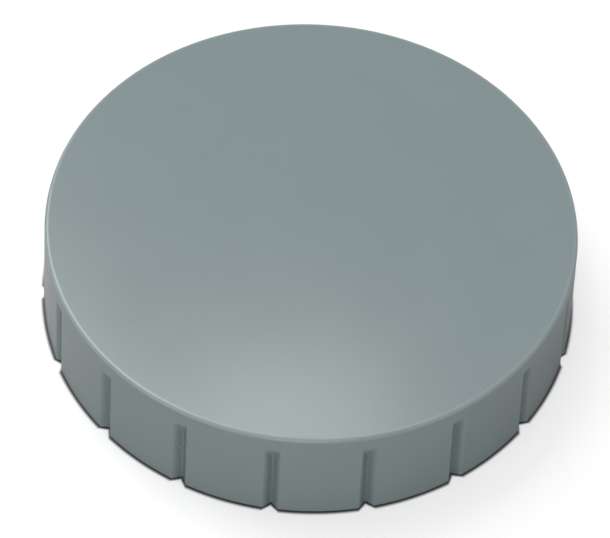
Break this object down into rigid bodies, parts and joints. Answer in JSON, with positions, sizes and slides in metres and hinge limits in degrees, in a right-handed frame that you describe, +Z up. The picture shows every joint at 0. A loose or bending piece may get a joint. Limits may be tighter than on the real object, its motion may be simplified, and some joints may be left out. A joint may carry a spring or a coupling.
{
  "type": "disc magnet",
  "caption": "Round notice-board magnet: a shallow moulded plastic cap with upright grip grooves round its wall and a black ferrite disc held in its open underside.",
  "frame": {"origin": "centre of the open rim, in the plane that lies on the board", "axes": "+Z up through the middle of the top face, along the axis of the disc"},
  "size_m": [0.032, 0.032, 0.007],
  "materials": {
    "cap_plastic": "satin, fine moulded grain",
    "ferrite": "ground faces, as-sintered edge"
  },
  "bodies": {
    "root": {"cap": "cap_plastic", "ferrite_disc": "ferrite"}
  },
  "joints": []
}
